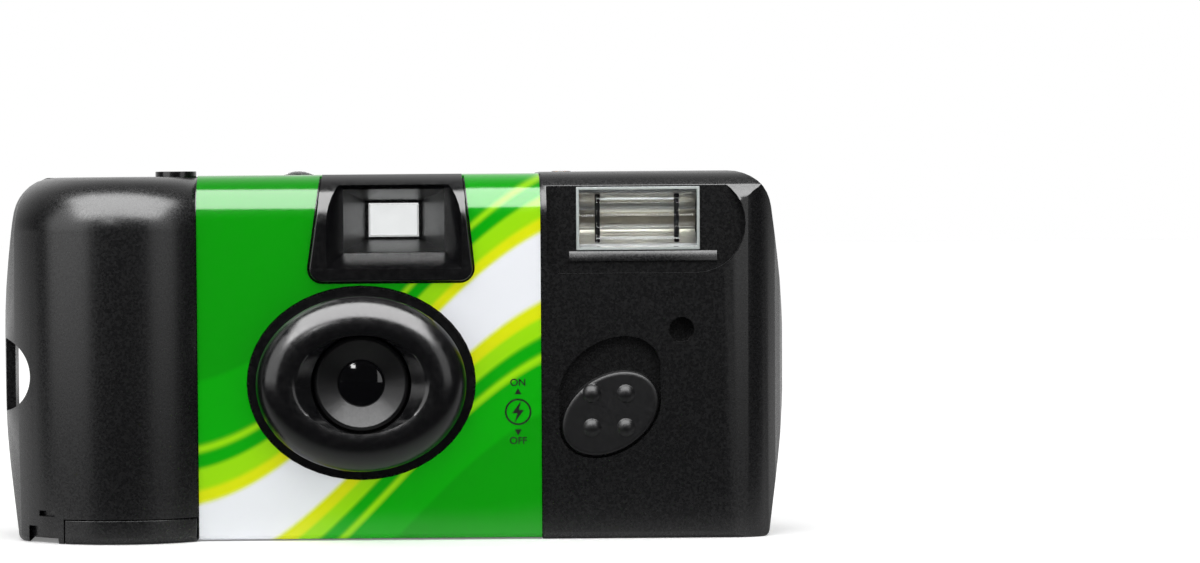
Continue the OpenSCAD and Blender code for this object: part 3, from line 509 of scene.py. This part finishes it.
def white_plastic():
    """White acetal of the sprocket and the counter dial: off-white and waxy."""
    return grained_surface("white acetal", linear("#E6E6E0"), 0.4, 0.6 * MM, 0.01 * MM)


def polished_metal():
    """Polished aluminium of the reflector: pale, with soft streaks along the trough."""
    return bright_metal("polished aluminium", linear("#F2F4F4"), 0.4, 3 * MM)


def flash_glass():
    """Flash tube glass: clear, with a warm cast."""
    return clear_acrylic("flash tube glass", linear("#EDE6D6"))


def board():
    """Solder-masked laminate: matt green with a faint grain."""
    return grained_surface("solder-masked laminate", linear("#3F6A34"), 0.45, 0.5 * MM, 0.02 * MM)


def component_body():
    """Sleeved components: slate blue plastic with a dull shine."""
    return grained_surface("sleeved component", linear("#39404C"), 0.36, 1.0 * MM, 0.01 * MM)


def contact_brass():
    """Contact brass: yellow metal with drawn streaks."""
    return bright_metal("contact brass", linear("#CDAF66"), 0.3, 2 * MM)


FINISHES = {
    "textured_black": textured_black, "gloss_black": gloss_black, "satin_black": satin_black,
    "printed_film": printed_film, "clear": clear, "amber": amber, "spring_steel": spring_steel,
    "can_metal": can_metal, "film_base": film_base, "white_plastic": white_plastic,
    "bright_metal": polished_metal, "flash_glass": flash_glass, "board": board,
    "component_body": component_body, "contact_brass": contact_brass,
}
SLOT_OF = {part["node"]: part["material_slot"] for part in frame["record"]["subparts"]}
made = {}


def finish_of(slot):
    """The material of a slot, made once."""
    if slot not in made:
        made[slot] = FINISHES[slot]()
    return made[slot]


def corners(node):
    """A node's lowest and highest corner."""
    return [Vector(corner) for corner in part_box(node)]


def front_of(node):
    """Where a node's front lies along Y."""
    return corners(node)[0].y


def settle_copy(piece, node):
    """Settles a piece that stands for one node, with that node's body and finish."""
    slot = SLOT_OF[node]
    settle(piece, body_of(frame["nodes"][node])[0], finish_of(slot), slot, node)


# Pieces

# Rounding of the small pieces' edges
FINE_EDGE = 0.12 * MM
LENS_EDGE = 0.1 * MM
BUTTON_EDGE = 0.3 * MM
LAMP_EDGE = 0.15 * MM


class FILMCAMERA_OT_covers(bpy.types.Operator):
    """Front cover, rear cover and hatch with their moulded edges rounded"""
    bl_idname = "film_camera.covers"
    bl_label = "Covers"

    def execute(self, context):
        for node in ("front_cover", "rear_cover", "cartridge_door"):
            settle_copy(rounded_copy(node, sizes().edge), node)
        return {"FINISHED"}


class FILMCAMERA_OT_label(bpy.types.Operator):
    """Printed band round the middle"""
    bl_idname = "film_camera.label"
    bl_label = "Label"

    def execute(self, context):
        piece = copy_of("label_wrap")
        finish_mesh(piece)
        settle_copy(piece, "label_wrap")
        return {"FINISHED"}


# The lens ring's section: a flat outer band, a crown that leans from CROWN_START to DISH_LEAN, and a dish
OUTER_BAND_W = 1.1 * MM
OUTER_BAND_PROUD = 0.5 * MM
CROWN_R = 4.6 * MM
CROWN_START = math.radians(62)
DISH_LEAN = math.radians(-16)
CROWN_STEPS = 20
DISH_STEPS = 6
RING_POINTS = 128


def lens_ring_rings(low, high, label_y):
    """Rings from the back of the outer band, over the crown and down the dish to its round hole."""
    width = high.x - low.x
    height = high.z - low.z
    band_y = label_y - OUTER_BAND_PROUD
    rings = [
        (width, height, high.y),
        (width, height, band_y),
        (width - 2 * OUTER_BAND_W, height - 2 * OUTER_BAND_W, band_y)]
    for i in range(CROWN_STEPS + 1):
        lean = CROWN_START + (DISH_LEAN - CROWN_START) * i / CROWN_STEPS
        drawn_in = 2 * (OUTER_BAND_W + CROWN_R * (math.sin(CROWN_START) - math.sin(lean)))
        rings.append((width - drawn_in, height - drawn_in, low.y + CROWN_R * (1 - math.cos(lean))))
    rim = rings[-1]
    dish_d = sizes().dish_d
    for i in range(1, DISH_STEPS + 1):
        share = i / DISH_STEPS
        place = rim[2] + (low.y + sizes().dish_depth - rim[2]) * share
        rings.append((rim[0] + (dish_d - rim[0]) * share, rim[1] + (dish_d - rim[1]) * share, place))
    rings.append((dish_d, dish_d, high.y))
    return rings


class FILMCAMERA_OT_lens(bpy.types.Operator):
    """Oval lens ring with its dished front, the lens holder and the lens"""
    bl_idname = "film_camera.lens"
    bl_label = "Lens"

    def execute(self, context):
        low, high = corners("lens_ring")
        centre = ((low.x + high.x) / 2, (low.z + high.z) / 2)
        rings = lens_ring_rings(low, high, front_of("label_wrap"))
        ring = ring_skin("lens_ring_moulding", centre, rings, RING_POINTS)
        finish_mesh(ring, ROUND_SMOOTH_ANGLE)
        settle_copy(ring, "lens_ring")
        settle_copy(rounded_copy("lens_holder", FINE_EDGE), "lens_holder")
        lens = copy_of("taking_lens")
        finish_mesh(lens, ROUND_SMOOTH_ANGLE)
        settle(lens, "camera", coated_lens(), SLOT_OF["taking_lens"], "taking_lens")
        return {"FINISHED"}


class FILMCAMERA_OT_viewfinder(bpy.types.Operator):
    """Funnel-shaped viewfinder frame with its two windows"""
    bl_idname = "film_camera.viewfinder"
    bl_label = "Viewfinder"

    def execute(self, context):
        bezel = copy_of("viewfinder_bezel")
        round_front_rim(bezel, sizes().trim_edge)
        finish_mesh(bezel, ROUND_SMOOTH_ANGLE)
        apply_modifier(bezel, "WEIGHTED_NORMAL", keep_sharp=True)
        settle_copy(bezel, "viewfinder_bezel")
        for node in ("viewfinder_objective", "viewfinder_eyepiece"):
            settle_copy(rounded_copy(node, LENS_EDGE), node)
        return {"FINISHED"}


# The flash opening: room round the reflector, how far the window lies behind the recess's floor, the window's
# edge strip, the sloped lip under it and the clips that hold the tube, with their places along the reflector
OPENING_ROOM = Vector((0.2, 0, 0.4)) * MM
WINDOW_SINK = 0.2 * MM
EDGE_W = 0.4 * MM
EDGE_T = 0.45 * MM
LIP_LEFT = 1.0 * MM
LIP_RIGHT = 2.4 * MM
LIP_H = 1.4 * MM
LIP_T = 0.34 * MM
LIP_GAP = 0.15 * MM
LIP_SLOPE = 0.8 * LIP_T
STRIP_ROUND = 0.1 * MM
LIP_ROUND = 0.06 * MM
CLIP_W = 0.7 * MM
CLIP_T = 0.8 * MM
CLIP_BEHIND = 0.5 * MM
CLIP_SHORT = 1.2 * MM
CLIP_PLACES = (("left", 0.17), ("right", 0.83))


def frosted_acrylic():
    """The window's moulded edge: clear acrylic that scatters the light to a pale grey."""
    return grained_surface("frosted acrylic edge", linear("#AEB5B3"), 0.3, 0.5 * MM, 0.01 * MM)


def window_edge(low, high, back_y):
    """A thin strip round the window's opening."""
    deselect()
    middle = ((low.x + high.x) / 2, back_y, (low.z + high.z) / 2)
    bpy.ops.mesh.primitive_plane_add(size=1, location=middle, rotation=FACING_FRONT)
    strip = bpy.context.active_object
    strip.name = "flash_window_edge"
    strip.scale = (high.x - low.x, high.z - low.z, 1)
    bpy.ops.object.transform_apply(location=True, rotation=True, scale=True)
    edit(strip)
    bpy.ops.mesh.inset(thickness=EDGE_W)
    bpy.ops.mesh.delete(type="FACE")
    bpy.ops.mesh.select_all(action="SELECT")
    thicken(EDGE_T)
    apply_modifier(strip, "BEVEL", width=STRIP_ROUND, segments=2)
    finish_mesh(strip)
    return strip


def flash_lip(low, high, back_y):
    """A wedge under the window whose face slopes up to the opening."""
    deselect()
    left = low.x - LIP_LEFT
    right = high.x + LIP_RIGHT
    top = low.z - LIP_GAP
    bpy.ops.mesh.primitive_cube_add(
        size=1, location=((left + right) / 2, back_y - LIP_T / 2, top - LIP_H / 2))
    lip = bpy.context.active_object
    lip.name = "flash_lip"
    lip.scale = (right - left, LIP_T, LIP_H)
    bpy.ops.object.transform_apply(location=True, rotation=True, scale=True)
    edit(lip)
    bpy.ops.mesh.select_all(action="DESELECT")
    mesh = bmesh.from_edit_mesh(lip.data)
    for vertex in mesh.verts:
        vertex.select_set(vertex.co.z > top - LIP_H / 2 and vertex.co.y < back_y - LIP_T / 2)
    bmesh.update_edit_mesh(lip.data)
    bpy.ops.transform.translate(value=(0, LIP_SLOPE, 0))
    bpy.ops.object.mode_set(mode="OBJECT")
    apply_modifier(lip, "BEVEL", width=LIP_ROUND, segments=2)
    finish_mesh(lip)
    return lip


def tube_clip(side, share, low, high):
    """One dark upright clip in front of the tube, at a share of the reflector's width."""
    deselect()
    middle = (low.x + (high.x - low.x) * share, low.y + CLIP_BEHIND, (low.z + high.z) / 2)
    bpy.ops.mesh.primitive_cube_add(size=1, location=middle)
    clip = bpy.context.active_object
    clip.name = "tube_clip_" + side
    clip.scale = (CLIP_W, CLIP_T, high.z - low.z - CLIP_SHORT)
    finish_mesh(clip)
    apply_modifier(clip, "BEVEL", width=LAMP_EDGE, segments=2)
    return clip


class FILMCAMERA_OT_flash(bpy.types.Operator):
    """Ribbed flash window with its edge strip and lip, and the dark clips that hold the tube behind it"""
    bl_idname = "film_camera.flash"
    bl_label = "Flash"

    def execute(self, context):
        settle_copy(rounded_copy("flash_window", FINE_EDGE), "flash_window")
        low, high = corners("flash_reflector")
        for side, share in CLIP_PLACES:
            settle(tube_clip(side, share, low, high), "camera", finish_of("satin_black"), "satin_black")
        low = low - OPENING_ROOM
        high = high + OPENING_ROOM
        window_y = front_of("flash_window")
        settle(window_edge(low, high, window_y), "camera", frosted_acrylic(), "clear")
        lip = flash_lip(low, high, window_y - WINDOW_SINK)
        settle(lip, "camera", finish_of("textured_black"), "textured_black")
        return {"FINISHED"}


class FILMCAMERA_OT_controls(bpy.types.Operator):
    """Flash switch, shutter button, advance wheel, counter window and ready light"""
    bl_idname = "film_camera.controls"
    bl_label = "Controls"

    def execute(self, context):
        roundings = {
            "flash_switch": FINE_EDGE, "shutter_button": BUTTON_EDGE, "thumb_wheel": FINE_EDGE,
            "counter_window": LENS_EDGE, "ready_light_window": LAMP_EDGE}
        for node, rounding in roundings.items():
            settle_copy(rounded_copy(node, rounding), node)
        return {"FINISHED"}


# The switch sign, printed on the label beside the switch, and its bolt and arrow as shares of their size
SIGN_X = 17.4 * MM
SIGN_Z = 17.8 * MM
SIGN_RING_R = 1.85 * MM
SIGN_STROKE = 0.25 * MM
SIGN_THICK = 0.02 * MM
BOLT = ((0.25, 0.85), (-0.45, -0.1), (-0.05, -0.1), (-0.3, -0.85), (0.45, 0.15), (0.05, 0.15))
ARROW = ((0.0, 0.45), (-0.4, -0.25), (0.4, -0.25))
ARROW_SIZE = 1.2 * MM
ARROW_GAP = 0.9 * MM
WORD_GAP = 1.3 * MM
SIGN_POINTS = 48
# Lettering: the font's size and the thickening of its strokes, for each unit of letter height
FONT_SIZE = 1.4
FONT_WEIGHT = 0.02
# The counter dial: how many numbers, the frames from one to the next, their height and their room to the rim
DIAL_NUMBERS = 9
DIAL_STEP = 3
DIAL_LETTER = 1.1 * MM
DIAL_MARGIN = 0.9 * MM


def printed_ink():
    """Screen-printed ink: near black, slightly duller than the film under it."""
    return grained_surface("screen-printed ink", colours().ink, 0.3, 0.4 * MM, 0.002 * MM)


def flat_sign(name, points, scale, x, z, face_y):
    """A flat printed shape on the label's face."""
    deselect()
    bpy.ops.mesh.primitive_circle_add(vertices=len(points), radius=scale, fill_type="NGON")
    sign = bpy.context.active_object
    sign.name = name
    edit(sign)
    mesh = bmesh.from_edit_mesh(sign.data)
    for vertex, point in zip(mesh.verts, points):
        vertex.co = (x + point[0] * scale, face_y, z + point[1] * scale)
    bmesh.update_edit_mesh(sign.data)
    thicken(SIGN_THICK)
    return sign


def letters(name, words, height, place, turn):
    """Lettering as a thin mesh, centred on its place."""
    deselect()
    bpy.ops.object.text_add(location=place, rotation=turn)
    sign = bpy.context.active_object
    sign.name = name
    sign.data.body = words
    sign.data.size = FONT_SIZE * height
    sign.data.align_x = "CENTER"
    sign.data.align_y = "CENTER"
    sign.data.extrude = SIGN_THICK / 2
    sign.data.offset = FONT_WEIGHT * height
    bpy.ops.object.convert(target="MESH")
    finish_mesh(sign)
    return sign


def sign_ring(face_y):
    """The printed ring round the bolt."""
    outer = 2 * SIGN_RING_R
    inner = 2 * (SIGN_RING_R - SIGN_STROKE)
    ink_y = face_y - SIGN_THICK
    rings = [(outer, outer, face_y), (outer, outer, ink_y), (inner, inner, ink_y), (inner, inner, face_y)]
    ring = ring_skin("sign_ring", (SIGN_X, SIGN_Z), rings, SIGN_POINTS)
    finish_mesh(ring)
    return ring


def dial_number(i, low, high):
    """One frame number on the counter dial, with its foot to the rim."""
    middle = (low + high) / 2
    reach = (high.x - low.x) / 2 - DIAL_MARGIN
    turn = 2 * math.pi * i / DIAL_NUMBERS
    x = middle.x + reach * math.sin(turn)
    y = middle.y - reach * math.cos(turn)
    frames = DIAL_STEP * i
    place = (x, y, high.z + SIGN_THICK / 2)
    return letters("dial_number_%d" % frames, str(frames), DIAL_LETTER, place, (0, 0, turn))


class FILMCAMERA_OT_signs(bpy.types.Operator):
    """Printed switch sign on the label and the numbers of the counter dial"""
    bl_idname = "film_camera.signs"
    bl_label = "Signs"

    def execute(self, context):
        face_y = front_of("label_wrap")
        ink = printed_ink()
        ink_y = face_y - SIGN_THICK / 2
        height = sizes().sign_height
        rise = SIGN_RING_R + ARROW_GAP
        word_rise = rise + WORD_GAP
        inked = [
            sign_ring(face_y),
            flat_sign("sign_bolt", BOLT, SIGN_RING_R, SIGN_X, SIGN_Z, face_y),
            flat_sign("sign_up", ARROW, ARROW_SIZE, SIGN_X, SIGN_Z + rise, face_y),
            flat_sign("sign_down", ARROW, -ARROW_SIZE, SIGN_X, SIGN_Z - rise, face_y),
            letters("sign_on", "ON", height, (SIGN_X, ink_y, SIGN_Z + word_rise), FACING_FRONT),
            letters("sign_off", "OFF", height, (SIGN_X, ink_y, SIGN_Z - word_rise), FACING_FRONT),
        ]
        for sign in inked:
            settle(sign, "camera", ink, "printed_film")
        low, high = corners("counter_dial")
        for i in range(DIAL_NUMBERS):
            settle(dial_number(i, low, high), "counter", ink, "white_plastic")
        return {"FINISHED"}


class FILMCAMERA_OT_works(bpy.types.Operator):
    """Finishes of the pieces inside the covers"""
    bl_idname = "film_camera.works"
    bl_label = "Inner works"

    def execute(self, context):
        for node, piece in frame["nodes"].items():
            piece.data.materials.clear()
            piece.data.materials.append(finish_of(SLOT_OF[node]))
        return {"FINISHED"}


# Stage

# The point that the lamps face, how far away the reflection cards stand, and the floor's side
LAMP_AIM = Vector((0, 0, 0.03))
CARD_DISTANCE = 0.6
FLOOR_SIZE = 6


def softbox(name, azimuth, elevation, width, height, brightness, distance=CARD_DISTANCE):
    """An area light that faces the object from a side angle and a height angle, in degrees."""
    deselect()
    side = math.radians(azimuth)
    rise = math.radians(elevation)
    way = Vector((math.sin(side) * math.cos(rise), -math.cos(side) * math.cos(rise), math.sin(rise)))
    bpy.ops.object.light_add(type="AREA", location=LAMP_AIM + distance * way)
    lamp = bpy.context.active_object
    lamp.name = name
    lamp.data.shape = "RECTANGLE"
    lamp.data.size = width
    lamp.data.size_y = height
    lamp.data.energy = brightness * math.pi * width * height
    lamp.rotation_euler = way.to_track_quat("Z", "Y").to_euler()
    return lamp


def shine_card(name, **settings):
    """A softbox that only shows as a reflection, so that it adds no light to matt faces."""
    softbox(name, **settings).visible_diffuse = False


# The world's strength as soft light, and in what shiny faces mirror, from ahead of the object to behind it
SOFT_LIGHT = 0.9
MIRRORED_FRONT = 0.03
MIRRORED_BACK = 1.0
MIRRORED_FULL_Y = 0.8


def studio_world():
    """White all round for the eye, nearly so for soft light, and a dim front for shiny faces to mirror."""
    world = bpy.data.worlds.new("pale studio")
    bpy.context.scene.world = world
    world.use_nodes = True
    tree = world.node_tree
    tree.nodes.clear()
    ray = add_node(tree, "LightPath")
    way = add_node(tree, "SeparateXYZ", {"Vector": add_node(tree, "TexCoord").outputs["Generated"]})
    mirrored = add_node(tree, "MapRange", {
        "Value": way.outputs["Y"], "From Min": 0.0, "From Max": MIRRORED_FULL_Y,
        "To Min": MIRRORED_FRONT, "To Max": MIRRORED_BACK})
    soft = add_node(tree, "Mix", {"Factor": ray.outputs["Is Diffuse Ray"], "A": 1.0, "B": SOFT_LIGHT})
    level = add_node(tree, "Mix", {
        "Factor": ray.outputs["Is Glossy Ray"], "A": soft.outputs[0], "B": mirrored.outputs["Result"]})
    sky = add_node(tree, "Background", {"Color": (1, 1, 1, 1), "Strength": level.outputs[0]})
    add_node(tree, "OutputWorld", {"Surface": sky.outputs["Background"]})


# Shiny faces mirror a painted dark patch of floor ahead of the object, which shows only in reflections and
# paints shade into them; the floor's glow makes it as white as the background
FLOOR_DARK_Y = -0.04
FLOOR_PALE_Y = -0.014
FLOOR_GLOW = 0.2
PAPER_TOOTH = 2 * MM


def floor_paper():
    """Matt white paper: bright and even, with a barely visible tooth; ahead of the object it turns dark in
    reflections only, a painted dark reflection.
    """
    material, tree = new_material("matt white paper")
    place = add_node(tree, "TexCoord").outputs["Object"]
    tooth = add_node(tree, "TexNoise", {"Vector": place, "Scale": 1 / PAPER_TOOTH, "Detail": 2.0})
    tone = blend_ramp(tree, tooth.outputs["Fac"], [(0.3, linear("#F8F8F8")), (0.7, linear("#FCFCFC"))])
    along = add_node(tree, "SeparateXYZ", {"Vector": place})
    room = add_node(tree, "MapRange", {
        "Value": along.outputs["Y"], "From Min": FLOOR_DARK_Y, "From Max": FLOOR_PALE_Y,
        "To Min": 1.0, "To Max": 0.0})
    ray = add_node(tree, "LightPath")
    painted_dark_reflection = add_node(tree, "Math", {
        0: room.outputs["Result"], 1: ray.outputs["Is Glossy Ray"]}, operation="MULTIPLY")
    glow = add_node(tree, "Math", {0: ray.outputs["Is Camera Ray"], 1: FLOOR_GLOW}, operation="MULTIPLY")
    paper = add_node(tree, "BsdfPrincipled", {
        "Base Color": tone.outputs["Color"], "Roughness": 0.9, "Emission Color": (1, 1, 1, 1),
        "Emission Strength": glow.outputs[0]})
    # Painted reflection: a dark grey floor that only shiny faces see, so they mirror painted shade where the
    # white floor would be
    dark = add_node(tree, "BsdfDiffuse", {"Color": opaque(linear("#2A2A2A"))})
    mix = add_node(tree, "MixShader", {
        "Fac": painted_dark_reflection.outputs[0], 1: paper.outputs["BSDF"], 2: dark.outputs["BSDF"]})
    add_node(tree, "OutputMaterial", {"Surface": mix.outputs["Shader"]})
    return material


# The camera: the point it looks at, its height angle, distance and tilt, and the frame's lens and shift
VIEW_TARGET = Vector((0, -0.0112, 0.026))
VIEW_ELEVATION = math.radians(2.5)
VIEW_DISTANCE = 0.5
VIEW_TILT = math.radians(0.45)
VIEW_LENS = 107.85
VIEW_SHIFT_X = 0.1738
VIEW_SHIFT_Y = 0.0604


def photo_camera():
    """A camera at the photograph's angle and framing."""
    deselect()
    way = Vector((0, -math.cos(VIEW_ELEVATION), math.sin(VIEW_ELEVATION)))
    bpy.ops.object.camera_add(
        location=VIEW_TARGET + VIEW_DISTANCE * way, rotation=(math.pi / 2 - VIEW_ELEVATION, VIEW_TILT, 0))
    view = bpy.context.active_object
    view.name = "photo_camera"
    view.data.lens = VIEW_LENS
    view.data.shift_x = VIEW_SHIFT_X
    view.data.shift_y = VIEW_SHIFT_Y
    return view


class FILMCAMERA_OT_stage(bpy.types.Operator):
    """Pale floor, soft studio light and the camera at the photograph's angle"""
    bl_idname = "film_camera.stage"
    bl_label = "Stage"

    def execute(self, context):
        deselect()
        bpy.ops.mesh.primitive_plane_add(size=FLOOR_SIZE)
        floor = bpy.context.active_object
        floor.name = "floor"
        floor.data.materials.append(floor_paper())
        studio_world()
        key = softbox("key_softbox", azimuth=-10, elevation=60, width=0.5, height=0.3, brightness=1.8,
                      distance=0.7)
        key.visible_glossy = False
        shine_card("top_card", azimuth=-4, elevation=58, width=0.95, height=0.62, brightness=11.0)
        shine_card("left_card", azimuth=-53, elevation=4, width=0.45, height=0.9, brightness=2.2)
        shine_card("right_card", azimuth=38, elevation=4, width=0.28, height=0.9, brightness=1.4)
        shine_card("small_card", azimuth=-14, elevation=22, width=0.07, height=0.05, brightness=14.0)
        context.scene.camera = photo_camera()
        context.scene.view_settings.view_transform = "Standard"
        return {"FINISHED"}


OPERATORS = (
    FILMCAMERA_OT_works, FILMCAMERA_OT_covers, FILMCAMERA_OT_label, FILMCAMERA_OT_lens,
    FILMCAMERA_OT_viewfinder, FILMCAMERA_OT_flash, FILMCAMERA_OT_controls, FILMCAMERA_OT_signs,
    FILMCAMERA_OT_stage,
)


class FILMCAMERA_PT_panel(bpy.types.Panel):
    """Lists the camera's operators and settings"""
    bl_label = "Film camera"
    bl_idname = "FILMCAMERA_PT_panel"
    bl_space_type = "VIEW_3D"
    bl_region_type = "UI"
    bl_category = "Film camera"

    def draw(self, context):
        for operator in OPERATORS:
            self.layout.operator(operator.bl_idname)
        for group in (context.scene.film_camera_sizes, context.scene.film_camera_colours):
            for key in group.__annotations__:
                self.layout.prop(group, key)


CLASSES = (FilmCameraColours, FilmCameraSizes) + OPERATORS + (FILMCAMERA_PT_panel,)


def register():
    for cls in CLASSES:
        bpy.utils.register_class(cls)
    bpy.types.Scene.film_camera_colours = bpy.props.PointerProperty(type=FilmCameraColours)
    bpy.types.Scene.film_camera_sizes = bpy.props.PointerProperty(type=FilmCameraSizes)


def unregister():
    del bpy.types.Scene.film_camera_sizes
    del bpy.types.Scene.film_camera_colours
    for cls in reversed(CLASSES):
        bpy.utils.unregister_class(cls)


def main():
    register()
    bpy.ops.film_camera.works()
    bpy.ops.film_camera.covers()
    bpy.ops.film_camera.label()
    bpy.ops.film_camera.lens()
    bpy.ops.film_camera.viewfinder()
    bpy.ops.film_camera.flash()
    bpy.ops.film_camera.controls()
    bpy.ops.film_camera.signs()
    bpy.ops.film_camera.stage()


if __name__ == "__main__":
    main()
